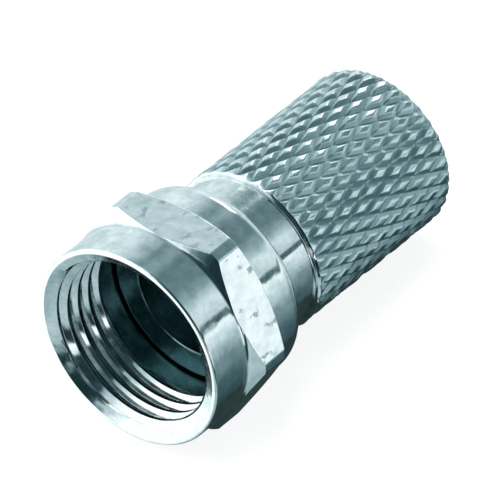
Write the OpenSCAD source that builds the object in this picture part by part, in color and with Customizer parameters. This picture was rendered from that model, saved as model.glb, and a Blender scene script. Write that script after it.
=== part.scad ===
// Screw-on F connector for 75 ohm coaxial cable: a hexagon coupling nut that spins
// freely on a knurled sleeve. Lengths are in millimetres.
//
// The origin lies on the axis, in the sleeve's front face, where the socket's rim seats.
// The mouth points along -Y, the cable leaves along +Y, and one flat of the nut faces down.

/* [Coupling nut] */
// Width of the hexagon across its flats
nut_flats = 11; // [10.95:0.05:11.5]
// Diameter left on the hexagon's corners after turning
nut_crest_d = 12.4; // [11.8:0.05:12.6]
// Length of the nut from its mouth to its tail
nut_l = 7.15; // [6.8:0.05:8]
// Length of each flat, along its middle
flat_l = 2.3; // [1.6:0.1:2.6]
// Slope of the chamfers at both ends of the hexagon
hex_chamfer = 30; // [20:1:40]
// Diameter of the plain collar round the mouth
collar_d = 10.9; // [10.6:0.05:10.9]
// Length of the collar, up to the hexagon's front chamfer
collar_l = 2.4; // [1.8:0.1:2.6]
// Radius of the hollow between the collar and the chamfer
collar_fillet = 0.3; // [0.1:0.05:0.5]
// Radius on the mouth's outer edge
rim_round = 0.12; // [0.05:0.01:0.15]
// Diameter of the tail behind the hexagon
tail_d = 10.5; // [10.3:0.05:10.8]
// Radius of the tail's end, which is rolled in behind the sleeve's flange
tail_round = 0.85; // [0.4:0.05:0.95]

/* [Nut thread, 3/8-32] */
// Diameter inside the thread's crests
thread_bore_d = 8.7; // [8.6:0.05:8.8]
// Widest diameter of the lead-in at the mouth
lead_in_d = 10.4; // [10:0.05:10.5]
// Depth of the lead-in
lead_in_l = 0.5; // [0.3:0.05:0.9]
// Depth of the thread's last turn below the mouth
thread_depth = 3.2; // [2.4:0.1:3.6]
// Diameter of the chamber behind the thread
chamber_d = 9.6; // [9.55:0.05:9.7]

/* [Sleeve] */
// Depth of the sleeve's front face below the nut's mouth
seat_depth = 4.8; // [4.2:0.1:5]
// Thickness of the flange that holds the nut on
flange_t = 1.1; // [0.8:0.05:1.3]
// Diameter of the smooth neck
neck_d = 8.36; // [8.1:0.02:8.4]
// Length of neck left bare between the nut and the knurling
neck_gap = 2.15; // [1.5:0.05:3]
// Diameter of the hole in the sleeve's front face
front_hole_d = 6.5; // [5.6:0.1:6.7]
// Depth of that hole
front_hole_l = 3; // [2:0.1:4]
// Diameter of the cable bore, inside its thread's crests
cable_bore_d = 6.9; // [6.6:0.05:7.1]
// Widest diameter of the cable bore's mouth
cable_mouth_d = 7.3; // [7.15:0.05:7.5]

/* [Knurling] */
// Diameter over the points of the knurling
knurl_d = 8.88; // [8.8:0.02:9.2]
// Length of the knurled grip
knurl_l = 10.7; // [8:0.1:13]
// Number of diamonds round the grip
knurl_count = 32; // [24:1:36]
// Width of the blunt top left on each diamond
knurl_top = 0.28; // [0.1:0.02:0.4]
// Depth of the grooves
knurl_depth = 0.2; // [0.1:0.01:0.2]
// Angle between each groove and the axis
knurl_angle = 22.5; // [15:0.5:35]
// Bevel that leads in to the knurling at its front edge
grip_lead = 0.06; // [0.04:0.01:0.15]
// Radius on the grip's rear edge
grip_round = 0.55; // [0.2:0.05:0.6]

/* [Fits] */
// Gap all round between the neck and the nut's rolled lip
running_gap = 0.07; // [0.03:0.01:0.1]
// Gap all round between the flange and the chamber
flange_gap = 0.15; // [0.05:0.01:0.2]
// Play along the axis between the flange and the lip
end_play = 0.1; // [0.05:0.01:0.2]

/* [Hidden] */
$fn = 96;
nickel = [0.72, 0.77, 0.79];
cut = 1;                // how far a cutting tool runs past the face that it opens
arc_steps = 8;          // straight steps in a rounded edge of an outline
grip_steps = 4;         // rings in the grip's rounded rear edge

flat_r = nut_flats / 2;
crest_r = nut_crest_d / 2;
collar_r = collar_d / 2;
tail_r = tail_d / 2;
lead_in_r = lead_in_d / 2;
thread_bore_r = thread_bore_d / 2;
chamber_r = chamber_d / 2;
neck_r = neck_d / 2;
lip_r = neck_r + running_gap;
flange_r = chamber_r - flange_gap;
cable_bore_r = cable_bore_d / 2;
cable_mouth_r = cable_mouth_d / 2;
front_hole_r = front_hole_d / 2;

// Places along the nut, from its mouth
chamfer_rise = tan(hex_chamfer);
flat_start = collar_l + (flat_r - collar_r) * chamfer_rise;
flat_end = flat_start + flat_l;
lip_z = seat_depth + flange_t + end_play;

// Places along the sleeve, from its front face
knurl_z = nut_l - seat_depth + neck_gap;
sleeve_l = knurl_z + knurl_l;

// Points on an arc round centre c, from angle a to angle b
function arc(c, r, a, b) =
    [for (i = [0 : arc_steps]) let (t = a + (b - a) * i / arc_steps) c + r * [cos(t), sin(t)]];

// Lays a shape that was drawn along +Z down along +Y
module along_y() {
    rotate([-90, 0, 0]) children();
}

// ---- Coupling nut, drawn from its mouth ----

// Turned outline: collar, hollow, front chamfer, crest, rear chamfer, tail with its rolled end
module nut_blank() {
    hollow_t = collar_fillet * tan((90 - hex_chamfer) / 2);
    rotate_extrude()
        polygon(concat(
            [[0, 0]],
            arc([collar_r - rim_round, rim_round], rim_round, -90, 0),
            arc([collar_r + collar_fillet, collar_l - hollow_t], collar_fillet,
                180, 90 + hex_chamfer),
            [[crest_r, flat_start + (crest_r - flat_r) * chamfer_rise],
             [crest_r, flat_end - (crest_r - flat_r) * chamfer_rise],
             [tail_r, flat_end + (flat_r - tail_r) * chamfer_rise]],
            arc([tail_r - tail_round, nut_l - tail_round], tail_round, 0, 90),
            [[0, nut_l]]));
}

// Everything that is cut out of the nut: lead-in, thread, chamber, seat and lip
module nut_bores() {
    lead_in_slope = (lead_in_r - thread_bore_r) / lead_in_l;
    rotate_extrude()
        polygon([
            [0, -cut],
            [lead_in_r + cut * lead_in_slope, -cut],
            [thread_bore_r, lead_in_l],
            [thread_bore_r, thread_depth],
            [chamber_r, thread_depth + chamber_r - thread_bore_r],
            [chamber_r, lip_z],
            [lip_r, lip_z],
            [lip_r, nut_l + cut],
            [0, nut_l + cut]]);
}

module coupling_nut() {
    color(nickel)
    along_y()
    translate([0, 0, -seat_depth])
    difference() {
        intersection() {
            nut_blank();
            cylinder(r = flat_r / cos(30), h = nut_l, $fn = 6);
        }
        nut_bores();
    }
}

// ---- Knurled sleeve, drawn from its front face ----

// Diamond knurling. Two families of V grooves cross at equal steps round and along the grip,
// and leave blunt-topped diamonds between them. Each row of diamonds is one ring of points:
// a groove crossing, then the left and the right corner of a top. Every other row is moved on
// by half a diamond. The grooves run out at both ends: in a bevel at the front, and over the
// rear edge's radius.
module knurled_grip() {
    knurl_r = knurl_d / 2;
    straight_l = knurl_l - grip_lead - grip_round;
    rows = max(2, round(2 * straight_l * knurl_count * tan(knurl_angle) / (PI * knurl_d)));
    row_l = straight_l / rows;
    top = knurl_top * knurl_count / (PI * knurl_d);     // as a share of a diamond's width
    last = knurl_count - 1;
    width = 3 * knurl_count;
    function spot(k, i, z, r) = let (t = (i + k / 2) * 360 / knurl_count)
        [r * cos(t), r * sin(t), z];
    function ring(k, z, top_r, depth) = [for (i = [0 : last])
        each [spot(k, i, z, top_r - depth),
              spot(k, i + (1 - top) / 2, z, top_r),
              spot(k, i + (1 + top) / 2, z, top_r)]];
    // The near or the far tip of each top in row k
    function tips(k, side) = [for (i = [0 : last])
        spot(k, i + 1 / 2, grip_lead + (k + side * top) * row_l, knurl_r)];
    lead = ring(0, 0, knurl_r - grip_lead, 0);
    diamonds = [for (k = [0 : rows]) each ring(k, grip_lead + k * row_l, knurl_r, knurl_depth)];
    edge = [for (s = [1 : grip_steps]) let (a = 90 * s / grip_steps)
        each ring(rows, knurl_l - grip_round * (1 - sin(a)),
            knurl_r - grip_round * (1 - cos(a)), knurl_depth * cos(a))];
    far_tips = [for (k = [0 : rows - 1]) each tips(k, 1)];
    near_tips = [for (k = [1 : rows]) each tips(k, -1)];
    first_far = (rows + 2 + grip_steps) * width;
    first_near = first_far + rows * knurl_count;

    // Plain bands: the bevel, and the rings over the rear edge
    bands = [for (k = [0, each [for (s = [0 : grip_steps - 1]) rows + 1 + s]], i = [0 : width - 1])
        let (a = k * width + i, b = k * width + (i + 1) % width, c = a + width, d = b + width)
        each [[a, c, b], [b, c, d]]];
    // Far half of a diamond in row k: its top, and the sides down to the two grooves
    far_halves = [for (k = [0 : rows - 1], i = [0 : last])
        let (v = (k + 1) * width + 3 * i, left = v + 1, right = v + 2,
             w = (k + 1) * width + 3 * ((i + 1) % knurl_count),
             next = v + width, tip = first_far + k * knurl_count + i)
        each [[left, tip, right], [v, next, tip], [v, tip, left], [tip, next, w], [tip, w, right]]];
    // Near half of a diamond in row k
    near_halves = [for (k = [1 : rows], i = [0 : last])
        let (v = (k + 1) * width + 3 * i, left = v + 1, right = v + 2,
             w = (k + 1) * width + 3 * ((i + 1) % knurl_count),
             next = w - width, tip = first_near + (k - 1) * knurl_count + i)
        each [[left, right, tip], [v, left, tip], [v, tip, next], [tip, right, w], [tip, w, next]]];
    front = [for (i = [0 : width - 1]) i];
    back = [for (i = [width - 1 : -1 : 0]) (rows + 1 + grip_steps) * width + i];
    polyhedron(concat(lead, diamonds, edge, far_tips, near_tips),
        concat(bands, far_halves, near_halves, [front, back]));
}

// Everything that is cut out of the sleeve: front hole, cable bore and its flared mouth
module sleeve_bores() {
    rotate_extrude()
        polygon([
            [0, -cut],
            [front_hole_r, -cut],
            [front_hole_r, front_hole_l],
            [cable_bore_r, front_hole_l],
            [cable_bore_r, sleeve_l - (cable_mouth_r - cable_bore_r)],
            [cable_mouth_r + cut, sleeve_l + cut],
            [0, sleeve_l + cut]]);
}

module knurled_sleeve() {
    color(nickel)
    along_y()
    difference() {
        union() {
            cylinder(r = flange_r, h = flange_t);
            cylinder(r = neck_r, h = knurl_z + grip_lead);
            translate([0, 0, knurl_z])
                knurled_grip();
        }
        sleeve_bores();
    }
}

coupling_nut();
knurled_sleeve();
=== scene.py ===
import math
import random

import bmesh
import bpy
from mathutils import Matrix, Vector


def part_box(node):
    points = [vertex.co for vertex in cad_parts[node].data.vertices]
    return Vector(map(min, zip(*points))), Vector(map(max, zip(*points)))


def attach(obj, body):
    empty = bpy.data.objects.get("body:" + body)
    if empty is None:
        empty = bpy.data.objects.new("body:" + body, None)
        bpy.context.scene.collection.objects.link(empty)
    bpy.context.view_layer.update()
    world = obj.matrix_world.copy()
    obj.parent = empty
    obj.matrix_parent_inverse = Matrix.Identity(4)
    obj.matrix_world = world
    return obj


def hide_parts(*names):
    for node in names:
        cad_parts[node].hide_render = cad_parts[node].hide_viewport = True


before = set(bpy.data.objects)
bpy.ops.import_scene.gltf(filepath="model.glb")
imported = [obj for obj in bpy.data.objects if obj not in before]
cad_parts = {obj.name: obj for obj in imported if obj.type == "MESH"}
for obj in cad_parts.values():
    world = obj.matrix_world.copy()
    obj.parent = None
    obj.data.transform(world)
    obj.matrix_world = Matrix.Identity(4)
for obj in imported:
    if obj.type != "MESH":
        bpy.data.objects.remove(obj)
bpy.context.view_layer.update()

MM = 0.001
TURN = 2 * math.pi

# ---- Sizes and places in millimetres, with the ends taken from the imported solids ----

nut_low, nut_high = (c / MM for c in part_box("coupling_nut"))
MOUTH = nut_low.y              # the nut's mouth; the sleeve's front face is at zero
GRIP_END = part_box("knurled_sleeve")[1].y / MM

FLAT_R = nut_high.z            # half the width across the flats
CREST_R = nut_high.x           # radius left on the hexagon's corners
CREST_HALF = TURN / 12 - math.acos(FLAT_R / CREST_R)     # half the angle of a turned corner
CHAMFER_RISE = math.tan(math.radians(30))
COLLAR_R, COLLAR_L, COLLAR_FILLET, RIM_ROUND = 5.45, 2.4, 0.3, 0.12
FLAT_L = 2.3
FLAT_START = COLLAR_L + (FLAT_R - COLLAR_R) * CHAMFER_RISE
FLAT_END = FLAT_START + FLAT_L
TAIL_R, TAIL_ROUND, NUT_L = 5.25, 0.82, nut_high.y - MOUTH
LIP_R, LIP_Z = 4.25, 6.0
LEAD_IN_R, LEAD_IN_L, THREAD_END, CHAMBER_R = 5.2, 0.5, 3.2, 4.8
# first is the y of a crest's middle at +X. ease is the radius on each corner, in so many steps
NUT_THREAD = dict(pitch=25.4 / 32, first=0.45, crest=4.35, root=4.7,
                  crest_flat=0.2, root_flat=0.18, ease=0.03, steps=3)
CHAMBER_START = THREAD_END + CHAMBER_R - NUT_THREAD["crest"]
LEAD_IN_SLOPE = (LEAD_IN_R - NUT_THREAD["crest"]) / LEAD_IN_L

FLANGE_R, FLANGE_T = 4.65, 1.1
NECK_R = 4.18
FRONT_HOLE_R, FRONT_HOLE_L = 3.25, 3.0
GRIP_R, GRIP_START, GRIP_ROUND, GRIP_LEAD = 4.44, 4.5, 0.55, 0.11
DIAMONDS, DIAMOND_ROWS, GROOVE_DEPTH = 32, 11, 0.2
# Grid lines across a diamond, as shares of its width
DIAMOND_LINES = (0, 0.04, 0.24, 0.28, 0.32, 0.39, 0.61, 0.68, 0.72, 0.76, 0.96)
# The shares where a groove's side ends and the blunt top starts, and how steep the top's crown is
SIDE_END, TOP_START, TOP_SLOPE = 0.24, 0.32, 0.2
CROSS_DEPTH = 0.8              # depth of the second family of grooves, as a share of the first's
CROSS_EDGE = 6                 # how sharp the edge is where two grooves meet
# Wear of the tops, as shares of the grooves' depth: for all, up or down, and tilted each way
WORN, WORN_LOW, WORN_TILT = 0.08, 0.08, 0.35
# Depth of the grooves at the front edge, the length over which they deepen, depth at the rear edge
FRONT_SHARE, FRONT_RUN, REAR_SHARE = 0.2, 0.35, 0.12
CABLE_R, CABLE_MOUTH_R = 3.45, 3.65
CABLE_THREAD = dict(pitch=1.27, first=FRONT_HOLE_L, crest=CABLE_R, root=3.72,
                    crest_flat=0.35, root_flat=0.25, ease=0.08, steps=1)
CABLE_PLAIN_L = 0.4            # length left plain at the thread's blind end

# Which of its three finishes a face takes: OWN is for the nut's flats and the sleeve's knurling,
# BORE for the insides, whose dark colour is painted shade
PLATING, BORE, OWN = range(3)
SHARP = math.radians(28)       # faces that meet at more than this keep a sharp edge


# ---- Outlines, as points (y, radius) ----

def eased_corner(before, corner, after, radius, steps, near=0.05):
    """Points that round one corner, with one more on each side to hold the faces beside it."""
    corner = Vector(corner)
    to_before, to_after = Vector(before) - corner, Vector(after) - corner
    back, on = to_before.normalized(), to_after.normalized()
    half = back.angle(on) / 2
    reach = radius / math.tan(half)
    centre = corner + (back + on).normalized() * (radius / math.sin(half))
    start, end = corner + back * reach - centre, corner + on * reach - centre
    sweep = start.angle_signed(end)
    arc = [centre + Matrix.Rotation(-sweep * s / steps, 2) @ start for s in range(steps + 1)]
    beside = [arc[0] + back * min(near, (to_before.length - reach) / 3),
              arc[-1] + on * min(near, (to_after.length - reach) / 3)]
    return [tuple(p) for p in (beside[0], *arc, beside[1])]


def eased(corners):
    """Rounds the corners (y, r, radius, steps) between the first and the last of an outline."""
    points = []
    for before, corner, after in zip(corners, corners[1:], corners[2:]):
        points += eased_corner(before[:2], corner[:2], after[:2], *corner[2:])
    return points


def measured(points):
    """A path of (length so far, y, r)."""
    so_far, path = 0, []
    for before, point in zip([points[0]] + points, points):
        so_far += math.dist(before, point)
        path.append((so_far, *point))
    return path


def along(path, s):
    """Place and outward direction at length s of a path."""
    for (s0, y0, r0), (s1, y1, r1) in zip(path, path[1:]):
        if s <= s1 or s1 == path[-1][0]:
            t = (s - s0) / (s1 - s0)
            out = Vector((r0 - r1, y1 - y0)).normalized()
            return Vector((y0 + (y1 - y0) * t, r0 + (r1 - r0) * t)), out


def thread_outline(t):
    """One pitch of a thread, from the middle of a crest."""
    crest, pitch = t["crest_flat"] / 2, t["pitch"]
    foot = (pitch - t["root_flat"]) / 2
    corners = [(-crest, t["crest"]), (crest, t["crest"]), (foot, t["root"]),
               (pitch - foot, t["root"]), (pitch - crest, t["crest"]), (pitch + crest, t["crest"])]
    return [p for three in zip(corners, corners[1:], corners[2:])
            for p in eased_corner(*three, t["ease"], t["steps"], 0.02)[1:-1]]


def radius_at(outline, pitch, y):
    """Radius of a thread's outline at any y."""
    y = (y - outline[0][0]) % pitch + outline[0][0]
    points = outline + [(outline[0][0] + pitch, outline[0][1])]
    for (y0, r0), (y1, r1) in zip(points, points[1:]):
        if y <= y1:
            return r0 + (r1 - r0) * (y - y0) / (y1 - y0)
    return r0


class Skin:
    """A closed skin made of rings round the Y axis. start is where its own y counts from."""

    def __init__(self, angles, start=0):
        self.angles, self.start, self.points, self.faces = angles, start, [], []

    def spot(self, angle, y, r):
        self.points.append((r * math.cos(angle) * MM, (y + self.start) * MM,
                            r * math.sin(angle) * MM))
        return len(self.points) - 1

    def face(self, *corners):
        kept = list(dict.fromkeys(corners))
        if len(kept) > 2:
            self.faces.append(kept)

    def ring(self, places):
        """A ring through one place (y, r) at each angle."""
        return [self.spot(a, *p) for a, p in zip(self.angles, places)]

    def join(self, one, two):
        for j in range(len(one)):
            i = j - 1
            self.face(one[i], one[j], two[j], two[i])

    def chain(self, rings):
        for one, two in zip(rings, rings[1:]):
            self.join(one, two)
        return rings

    def thread(self, t, start, end, trim):
        """Rows that follow a right-hand helix. One turn on, a row meets the one a pitch nearer."""
        outline, pitch = thread_outline(t), t["pitch"]
        lap = len(outline)
        rows = []
        for k in range(lap * (math.ceil((end - start) / pitch) + 3) + 1):
            row = []
            for a in self.angles:
                lead = t["first"] - a / TURN * pitch
                y, r = outline[k % lap]
                y = y + (k // lap - 1) * pitch + lead
                if not start < y < end:
                    y = min(max(y, start), end)
                    r = radius_at(outline, pitch, y - lead)
                row.append(self.spot(a, y, trim(y, r)))
            rows.append(row)
        for k in range(len(rows) - 1):
            back, after = max(k - lap, 0), max(k - lap + 1, 0)
            self.face(rows[k][-1], rows[k + 1][-1], rows[after][0], rows[back][0])
            for i in range(len(self.angles) - 1):
                self.face(rows[k][i], rows[k + 1][i], rows[k + 1][i + 1], rows[k][i + 1])
        return rows[0], rows[-1]

    def piece(self, name, node, body, finishes, finish_at):
        """Makes the piece. finish_at tells which finish a face takes, from its y, its radius and
        its distance out from the axis."""
        mesh = bpy.data.meshes.new(name)
        mesh.from_pydata(self.points, [], self.faces)
        for finish in finishes:
            mesh.materials.append(finish)
        for face in mesh.polygons:
            x, y, z = face.center / MM
            out = abs(face.normal.dot((x, 0, z)))
            face.material_index = finish_at(y - self.start, math.hypot(x, z), out)
        bm = bmesh.new()
        bm.from_mesh(mesh)
        bmesh.ops.remove_doubles(bm, verts=bm.verts, dist=1e-9)
        bmesh.ops.recalc_face_normals(bm, faces=bm.faces)
        bm.to_mesh(mesh)
        bm.free()
        mesh.polygons.foreach_set("use_smooth", [True] * len(mesh.polygons))
        mesh.set_sharp_from_angle(angle=SHARP)
        made = bpy.data.objects.new(name, mesh)
        bpy.context.scene.collection.objects.link(made)
        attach(made, body)
        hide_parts(node)
        return made


# ---- Coupling nut, from its mouth ----

def nut_angles():
    """Angles round the nut, closer together at the edges of the turned corners."""
    edge = [CREST_HALF + math.radians(t) for t in (-0.8, -0.5, -0.25, 0, 0.25, 0.5, 0.8)]
    side = [0, CREST_HALF / 2, *edge, *(math.radians(t) for t in range(4, 30))]
    sixth = side + [TURN / 12] + [TURN / 6 - a for a in side[:0:-1]]
    return [k * TURN / 6 + a for k in range(6) for a in sixth]


def hexagon_radius(angle, ease=0.03):
    """Radius of the hexagon with its turned corners, with the edge between the two eased."""
    flat = FLAT_R / math.cos(angle % (TURN / 6) - TURN / 12)
    return min(flat, CREST_R) - max(0, ease - abs(flat - CREST_R)) ** 2 / (4 * ease)


COLLAR_CORNER = (COLLAR_L, COLLAR_R)
CONE_R = CREST_R + 0.1         # just clear of the crests
CONE_TOP = (COLLAR_L + (CONE_R - COLLAR_R) * CHAMFER_RISE, CONE_R)
FRONT_CONE = measured(
    eased_corner((0, COLLAR_R), COLLAR_CORNER, CONE_TOP, COLLAR_FILLET, 8)[:-1] + [CONE_TOP])
CONE_STEPS = 10


def nut_outside(angle):
    """Outline at one angle: rim, collar, hollow and front cone up to the hexagon, then the rest
    down to the tail and in to the chamber."""
    top = hexagon_radius(angle)
    rise = (top - FLAT_R) * CHAMFER_RISE
    climb = next(s0 + (s1 - s0) * (top - r0) / (r1 - r0)
                 for (s0, _, r0), (s1, _, r1) in zip(FRONT_CONE, FRONT_CONE[1:]) if r1 >= top)
    cone = [tuple(along(FRONT_CONE, climb * k / CONE_STEPS)[0]) for k in range(CONE_STEPS + 1)]
    front_edge, rear_edge = cone.pop(), (FLAT_END - rise, top)
    rim = eased_corner((0, LEAD_IN_R), (0, COLLAR_R), COLLAR_CORNER, RIM_ROUND, 4)
    return rim + cone + eased_corner(cone[-1], front_edge, rear_edge, 0.04, 3) + eased([
        front_edge,
        (*rear_edge, 0.05, 3),
        (FLAT_END + (FLAT_R - TAIL_R) * CHAMFER_RISE, TAIL_R, 0.06, 3),
        (NUT_L, TAIL_R, TAIL_ROUND, 10),
        (NUT_L, LIP_R, 0.06, 3),
        (LIP_Z, LIP_R, 0.04, 2),
        (LIP_Z, CHAMBER_R, 0.04, 2),
        (CHAMBER_START, CHAMBER_R)])


def nut_thread_trim(y, r):
    """Opens the thread's ends into the lead-in and into the chamber."""
    return max(r, LEAD_IN_R - y * LEAD_IN_SLOPE, NUT_THREAD["crest"] + y - THREAD_END)


def coupling_nut(*finishes):
    """The nut: its outside from the rim round to the chamber, then its thread back to the rim."""
    skin = Skin(nut_angles(), MOUTH)
    outlines = [nut_outside(a) for a in skin.angles]
    outside = skin.chain([skin.ring(places) for places in zip(*outlines)])
    thread_start = (LEAD_IN_R - CHAMBER_R) / LEAD_IN_SLOPE
    front, rear = skin.thread(NUT_THREAD, thread_start, CHAMBER_START, nut_thread_trim)
    rim = eased_corner((thread_start, CHAMBER_R), (0, LEAD_IN_R), (0, COLLAR_R), 0.04, 3)
    inside = [skin.ring([p] * len(skin.angles)) for p in rim]
    skin.chain([outside[-1], rear])
    skin.chain([front, *inside, outside[0]])

    def finish_at(y, r, out):
        """The chamber counts as bore, with a little to spare for its eased edges."""
        if THREAD_END < y < LIP_Z + 0.1 and r < CHAMBER_R + 0.05:
            return BORE
        return OWN if abs(out - FLAT_R) < 0.02 else PLATING

    return skin.piece("nut_shell", "coupling_nut", "nut", finishes, finish_at)


# ---- Knurled sleeve, from its front face ----

def grip_path():
    """Line over the tops of the knurling, from the front bevel to the end of the rear edge."""
    front, corner = (GRIP_START + GRIP_LEAD, GRIP_R), (GRIP_END, GRIP_R)
    rear_edge = eased_corner(front, corner, (GRIP_END, CABLE_MOUTH_R), GRIP_ROUND, 12)
    return measured([front, *rear_edge[1:-1]])


def groove_cut(f):
    """Share of the groove's depth that is cut away at share f of a diamond's width."""
    def rise(f):
        edge_l = TOP_START - SIDE_END
        edge = min(max(f - SIDE_END, 0), edge_l)
        top = max(f - TOP_START, 0)
        return (min(f, SIDE_END) + edge - (1 - TOP_SLOPE) * edge ** 2 / (2 * edge_l)
                + TOP_SLOPE * (top - top ** 2 / (1 - 2 * TOP_START)))

    return 1 - rise(min(f, 1 - f)) / rise(0.5)


def knurling(skin):
    """Diamonds between two families of grooves. Returns the grip's front and rear rings."""
    lines = len(DIAMOND_LINES)
    chance = random.Random(4)
    wear = [[[chance.uniform(-1, 1) for _ in range(3)] for _ in range(DIAMONDS)]
            for _ in range(DIAMOND_ROWS + 2)]
    around, deep = DIAMONDS * lines, DIAMOND_ROWS * lines
    path = grip_path()
    end = path[-1][0]
    row_l = end / DIAMOND_ROWS

    def line(i):
        return i // lines + DIAMOND_LINES[i % lines]

    grid = []
    for i in range(around):
        column = []
        for d in range(deep + 1):
            p, q = line(i), line(i - d)
            s = (p - q) * row_l
            place, out = along(path, s)
            run_out = min(1, FRONT_SHARE + s / FRONT_RUN,
                          max(REAR_SHARE, (end - s) / (2 * GRIP_ROUND)))
            cut = min(1, (groove_cut(p % 1) ** CROSS_EDGE
                          + (CROSS_DEPTH * groove_cut(q % 1)) ** CROSS_EDGE) ** (1 / CROSS_EDGE))
            low, tilt, lean = wear[math.floor(p) - math.floor(q)][math.floor(p) % DIAMONDS]
            worn = (WORN + WORN_LOW * low + WORN_TILT * tilt * (p % 1 - 0.5)
                    + WORN_TILT * lean * (q % 1 - 0.5)) * (1 - cut)
            depth = GROOVE_DEPTH * run_out * max(0, cut + worn)
            place -= out * depth
            column.append(skin.spot((p + q) / 2 * TURN / DIAMONDS, place.x, place.y))
        grid.append(column)
    for i in range(around):
        here, there = grid[i], grid[(i + 1) % around]
        for d in range(deep + 1):
            a, b = i % lines, (i - d) % lines
            side = [here[d], *([there[d + 1]] if d < deep else []),
                    there[d], *([here[d - 1]] if d else [])]
            # Squares on the lines through a diamond's tips are split along those lines
            if len(side) == 4 and a == b:
                skin.face(side[0], side[1], side[2])
                skin.face(side[0], side[2], side[3])
            elif len(side) == 4 and a + b + 1 == lines:
                skin.face(side[0], side[1], side[3])
                skin.face(side[1], side[2], side[3])
            else:
                skin.face(*side)
    # The columns lean, so the rear ring starts this many of them on
    shift = DIAMOND_ROWS * lines // 2
    return [column[0] for column in grid], [grid[(c + shift) % around][-1] for c in range(around)]


def cable_trim(y, r):
    """Lets the cable thread fade in at its blind end, and opens it into the mouth."""
    fade = min(1, max(0, (y - FRONT_HOLE_L - CABLE_PLAIN_L) / CABLE_THREAD["pitch"]))
    return max(CABLE_R + (r - CABLE_R) * fade, CABLE_MOUTH_R - (GRIP_END - y))


def knurled_sleeve(*finishes):
    """The sleeve: front hole, flange, neck and bevel, then the grip, then its bore's thread."""
    skin = Skin([(k + f) * TURN / DIAMONDS for k in range(DIAMONDS) for f in DIAMOND_LINES])
    rings = [skin.ring([p] * len(skin.angles)) for p in eased([
        (FRONT_HOLE_L, CABLE_R),
        (FRONT_HOLE_L, FRONT_HOLE_R, 0.05, 2),
        (0, FRONT_HOLE_R, 0.12, 3),
        (0, FLANGE_R, 0.1, 3),
        (FLANGE_T, FLANGE_R, 0.05, 2),
        (FLANGE_T, NECK_R, 0.05, 2),
        (GRIP_START, NECK_R, 0.04, 2),
        (GRIP_START, GRIP_R - GRIP_LEAD, 0.02, 2),
        (GRIP_START + GRIP_LEAD, GRIP_R)])]
    grip_front, grip_rear = knurling(skin)
    thread_front, thread_rear = skin.thread(CABLE_THREAD, FRONT_HOLE_L, GRIP_END, cable_trim)
    skin.chain([thread_front, *rings, grip_front])
    skin.chain([grip_rear, thread_rear])

    def finish_at(y, r, out):
        """The flange and both holes count as bore, but for the edge of the cable's mouth."""
        if y < FLANGE_T + 0.1 or r < CABLE_R + 0.3 and y < GRIP_END - 0.3:
            return BORE
        return OWN if y > GRIP_START + GRIP_LEAD and r > CABLE_MOUTH_R + 0.2 else PLATING

    return skin.piece("sleeve_shell", "knurled_sleeve", "sleeve", finishes,
                      finish_at)


# ---- Shader writing ----

class Value:
    """A number that varies over a surface. Expressions on it add Math nodes."""

    def __init__(self, paint, socket):
        self.paint, self.socket = paint, socket

    def maths(self, operation, *others):
        return self.paint.node("Math", {"operation": operation}, *others)

    def __add__(self, other): return self.maths("ADD", self, other)
    def __sub__(self, other): return self.maths("SUBTRACT", self, other)
    def __rsub__(self, other): return self.maths("SUBTRACT", other, self)
    def __mul__(self, other): return self.maths("MULTIPLY", self, other)
    def __truediv__(self, other): return self.maths("DIVIDE", self, other)
    def __pow__(self, other): return self.maths("POWER", self, other)
    def clamped(self): return self.maths("MINIMUM", self.maths("MAXIMUM", self, 0), 1)
    __radd__, __rmul__ = __add__, __mul__


class Paint:
    """The nodes of one material or world."""

    def __init__(self, owner):
        owner.use_nodes = True
        self.tree = owner.node_tree
        self.tree.nodes.clear()

    def node(self, kind, settings=None, *inputs, out=0, **named):
        made = self.tree.nodes.new("ShaderNode" + kind)
        for key, value in (settings or {}).items():
            if key == "stops":
                ramp = made.color_ramp
                for place, colour in value[1:-1]:
                    ramp.elements.new(place)
                for element, (place, colour) in zip(ramp.elements, value):
                    element.position, element.color = place, colour
            else:
                setattr(made, key, value)
        by_name = ((k.replace("_", " "), v) for k, v in named.items())
        for key, value in [*enumerate(inputs), *by_name]:
            socket = made.inputs[key]
            if isinstance(value, Value):
                self.tree.links.new(value.socket, socket)
            else:
                socket.default_value = value
        return Value(self, made.outputs[out]) if made.outputs else made

    def mix(self, share, less, more):
        """Colours mixed by a share."""
        return self.node("Mix", {"data_type": "RGBA"}, out="Result", Factor=share, A=less, B=more)

    def stretched(self, place, factors):
        return self.node("VectorMath", {"operation": "MULTIPLY"}, place, factors)

    def noise(self, place, scale, detail, roughness):
        return self.node("TexNoise", None, Vector=place, Scale=scale, Detail=detail,
                         Roughness=roughness)


SCUFF_COLOUR, SCUFF_ROUGH = (0.4, 0.5, 0.52, 1), 0.25
# Painted shade low in the knurl's grooves: a darker colour that fades in over a short depth, and
# more roughness
GROOVE_SHADE_COLOUR, GROOVE_ROUGH, GROOVE_SHADE_EDGE = (0.36, 0.49, 0.51, 1), 0.14, 0.06
BUMP_HEIGHT = 0.012


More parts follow.
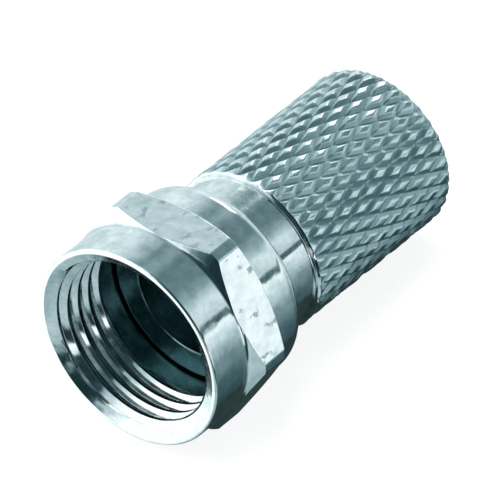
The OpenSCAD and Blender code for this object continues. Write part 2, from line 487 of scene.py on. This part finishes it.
def plated(name, bright, deep, haze, marks, waves, scuffs=0, tops=None):
    """Nickel plating, which changes from deep to bright in clouds. haze is its least roughness,
    marks how strongly the turning lines show, waves how far its surface is from true, and
    scuffs how dull its spanner marks are. Below the radius tops it is rougher, and darker as
    painted shade in the grooves."""
    material = bpy.data.materials.new(name)
    paint = Paint(material)
    place = paint.stretched(paint.node("TexCoord", None, out="Object"), (1 / MM, 1 / MM, 1 / MM))
    along_turns = paint.stretched(place, (0.35, 9, 0.35))
    cloud = paint.noise(place, 1.3, 4, 0.65)
    swell = paint.noise(place, 1.2, 1.5, 0.4)
    turns = paint.noise(along_turns, 1, 3, 0.7)
    grain = paint.noise(place, 12, 2, 0.6)
    tone = (cloud * 3 - 1).clamped()
    colour = paint.mix(tone, deep, bright)
    rough = haze + 0.07 * tone + 0.04 * grain + 0.05 * marks * turns
    if scuffs:
        patch = paint.noise(paint.stretched(place, (1.3, 0.7, 1.3)), 1.7, 2.5, 0.5)
        scuffed = (patch * 14 - 8.4).clamped() * scuffs
        colour = paint.mix(scuffed, colour, SCUFF_COLOUR)
        rough = rough + SCUFF_ROUGH * scuffed
    # Painted shade: darker and rougher below the radius tops, down in the grooves
    if tops:
        x, z = (paint.node("SeparateXYZ", None, place, out=part) for part in "XZ")
        low = ((tops - (x * x + z * z) ** 0.5) / GROOVE_SHADE_EDGE).clamped()
        colour = paint.mix(low, colour, GROOVE_SHADE_COLOUR)
        rough = rough + GROOVE_ROUGH * low
    height = swell * waves + turns * (0.2 * marks) + grain * 0.04
    bump = paint.node("Bump", None, Strength=1, Distance=BUMP_HEIGHT * MM, Height=height)
    shader = paint.node("BsdfPrincipled", None, Base_Color=colour, Metallic=1, Roughness=rough,
                        Normal=bump)
    paint.node("OutputMaterial", None, Surface=shader)
    return material


nut_nickel = plated("nut_satin_nickel", bright=(0.86, 0.92, 0.93, 1), deep=(0.58, 0.68, 0.7, 1),
                    haze=0.03, marks=0.6, waves=1.5)
flat_nickel = plated("flat_satin_nickel", bright=(0.96, 0.99, 1, 1), deep=(0.8, 0.87, 0.89, 1),
                     haze=0.09, marks=0, waves=3, scuffs=0.8)
sleeve_nickel = plated("sleeve_satin_nickel", bright=(0.82, 0.89, 0.9, 1),
                       deep=(0.54, 0.63, 0.65, 1), haze=0.04, marks=0.3, waves=1)
knurl_nickel = plated("knurl_rolled_nickel", bright=(0.8, 0.89, 0.91, 1),
                      deep=(0.56, 0.68, 0.7, 1), haze=0.12, marks=0.3, waves=2, tops=GRIP_R - 0.03)
# The insides' dark colour is painted shade: the shade deep in the nut's chamber and in the
# sleeve's flange and holes
shaded_bore_nickel = plated("bore_nickel_painted_shade", bright=(0.25, 0.4, 0.42, 1), deep=(0.16, 0.28, 0.3, 1),
                     haze=0.16, marks=1, waves=3)

coupling_nut(nut_nickel, shaded_bore_nickel, flat_nickel)
knurled_sleeve(sleeve_nickel, shaded_bore_nickel, knurl_nickel)


# ---- Studio: a pale table, soft panels all round, side cards, one wide lamp ----

FULL = 1.5                     # strength of the brightest panel
TABLE_HALF = 600
UNDER = 0.01                   # gap between the connector and the table
CARD_DISTANCE = 40


def stage_card(name, corners):
    """A flat card of the studio, with its corners in millimetres. Returns it and its paint."""
    mesh = bpy.data.meshes.new(name)
    mesh.from_pydata([Vector(c) * MM for c in corners], [], [(0, 1, 2, 3)])
    card = bpy.data.objects.new(name, mesh)
    bpy.context.scene.collection.objects.link(card)
    material = bpy.data.materials.new(name)
    mesh.materials.append(material)
    return card, Paint(material)


def only_mirrored(card):
    """Hides a card from all but the plating that mirrors it."""
    card.visible_camera = card.visible_diffuse = card.visible_shadow = False


def table_card(name, corner, far_corner, lift, colour, glow):
    """A flat card on the table plane, which both resting edges touch: the nut's lower flat and the
    grip's rear edge. The corners are (x, y) in millimetres, from below the nut's flat."""
    nut_y, nut_z = MOUTH + FLAT_END, -FLAT_R
    grip_y, grip_z = GRIP_END - 0.3, -GRIP_R + 0.1
    (x0, y0), (x1, y1) = corner, far_corner
    card, paint = stage_card(name, [(x0, y0, 0), (x1, y0, 0), (x1, y1, 0), (x0, y1, 0)])
    card.matrix_world = (Matrix.Translation((0, nut_y * MM, (nut_z - UNDER + lift) * MM))
                         @ Matrix.Rotation(math.atan2(grip_z - nut_z, grip_y - nut_y), 4, "X"))
    shader = paint.node("BsdfPrincipled", None, Base_Color=colour, Roughness=1,
                        Emission_Color=(1, 1, 1, 1), Emission_Strength=glow)
    paint.node("OutputMaterial", None, Surface=shader)
    return card


def pale_table():
    """A plain table top, and a dark strip that stands in for the connector's own shade on it and
    that only its plating mirrors: painted shade.
    """
    top = table_card("table_top", (-TABLE_HALF, -TABLE_HALF), (TABLE_HALF, TABLE_HALF), 0,
                     (0.3, 0.3, 0.3, 1), 0.88)
    top.visible_glossy = False
    # A dark card painted as the table's shade under the connector, seen only in the plating's
    # reflections
    shade = table_card("shaded_strip", (-2.5, -4), (7, 15.5), -0.001, (0.02, 0.04, 0.04, 1), 0)
    only_mirrored(shade)


def steel_light(share):
    """A soft light's colour: the dimmer it is, the more it leans to blue-green."""
    return share ** 1.3, share ** 1.04, share


def soft_panels():
    """Light from all round: bands round the connector's axis, behind it and in front of it, with
    a dark patch straight ahead and an even one straight behind. The camera sees plain white."""
    world = bpy.data.worlds.new("studio")
    bpy.context.scene.world = world
    paint = Paint(world)
    direction = paint.node("TexCoord", None, out="Generated")
    x, y, z = (paint.node("SeparateXYZ", None, direction, out=part) for part in "XYZ")
    round_axis = z.maths("ARCTAN2", z, x) / TURN + 0.5

    def band(levels):
        """Levels round the axis, by degrees from +X towards +Z."""
        stops = [((degrees + 180) / 360, (level / FULL,) * 3 + (1,)) for degrees, level in levels]
        return paint.node("ValToRGB", {"stops": stops}, round_axis)

    behind = band([
        (-180, 0.85), (-160, 0.85), (-131, 0.9), (-123, 0.1), (-112, 0.05), (-90, 0.05),
        (-66, 0.09), (-42, 0.17), (-30, 0.3), (-18, 0.36), (-5, 0.75), (6, 1.0), (14, 1.3),
        (16, 0.17), (22, 0.17), (24, 0.85), (40, 0.95), (52, 0.5), (66, 0.28), (90, 0.26),
        (98, 0.42), (105, 0.42), (112, 0.3), (124, 0.6), (146, 1.0), (165, 1.0)])
    before = band([
        (-180, 1.5), (-130, 1.5), (-100, 0.7), (-80, 0.5), (-50, 0.7), (-37, 0.7), (-31, 0.04),
        (-15, 0.04), (-11, 1.5), (2, 1.5), (6, 0.05), (70, 0.06), (92, 0.1), (98, 0.7),
        (120, 0.9), (140, 1.5), (180, 1.5)])
    ahead, at_the_end = 0.027, 0.6
    aside = ((1 - y * y) ** 0.5 * 4 - 0.7).clamped()
    share = ahead + (before - ahead) * aside
    share = share + (behind - share) * (y * 1.6 + 0.5).clamped()
    share = share + (at_the_end - share) * (y * 5 - 4).clamped()
    light = paint.node("CombineColor", None, *steel_light(share))
    shine = paint.node("Background", None, light, FULL)
    plain = paint.node("Background", None, (1, 1, 1, 1), 1.0)
    seen = paint.node("LightPath", None, out="Is Camera Ray")
    paint.node("OutputWorld", None, paint.node("MixShader", None, seen, shine, plain))


def side_card(name, turn, near, far, width, level):
    """A light or dark card that only the plating mirrors. It faces the connector's axis from an
    angle turn round it, and reaches from near to far along it."""
    out = Vector((math.cos(math.radians(turn)), 0, math.sin(math.radians(turn))))
    across, middle = Vector((-out.z, 0, out.x)) * width / 2, out * CARD_DISTANCE
    card, paint = stage_card(name, [
        middle + across * side + Vector((0, y, 0))
        for side, y in ((-1, near), (1, near), (1, far), (-1, far))])
    light = paint.node("Emission", None, (*steel_light(level / FULL), 1), FULL)
    paint.node("OutputMaterial", None, Surface=light)
    only_mirrored(card)


def wide_lamp():
    lamp = bpy.data.lights.new("wide_lamp", "AREA")
    lamp.size, lamp.energy = 0.4, 2.2
    made = bpy.data.objects.new("wide_lamp", lamp)
    bpy.context.scene.collection.objects.link(made)
    made.location = (-0.12, -0.08, 0.35)
    made.rotation_euler = (-made.location).to_track_quat("-Z", "Y").to_euler()
    made.visible_glossy = False


def camera():
    """A long lens that looks into the mouth from above and to the right."""
    azimuth, elevation, distance = math.radians(38.35), math.radians(39.26), 515.6
    aim = Vector((2.76, 1.18, 3.65))
    back = Vector((math.sin(azimuth) * math.cos(elevation),
                   -math.cos(azimuth) * math.cos(elevation), math.sin(elevation)))
    data = bpy.data.cameras.new("camera")
    data.lens, data.clip_start, data.clip_end = 772.7, 0.05, 3
    made = bpy.data.objects.new("camera", data)
    bpy.context.scene.collection.objects.link(made)
    made.location = (aim + back * distance) * MM
    made.rotation_euler = back.to_track_quat("Z", "Y").to_euler()
    bpy.context.scene.camera = made


pale_table()
soft_panels()
side_card("grip_card", turn=114, near=34, far=62, width=24, level=1.7)
side_card("step_card", turn=108, near=-26, far=-15, width=26, level=1.5)
side_card("bevel_card", turn=108, near=-56, far=-40, width=26, level=1.5)
side_card("step_shade", turn=12, near=-30, far=-15, width=48, level=0.03)
side_card("bevel_shade", turn=12, near=-58, far=-40, width=48, level=0.03)
wide_lamp()
camera()
bpy.context.scene.view_settings.view_transform = "Standard"
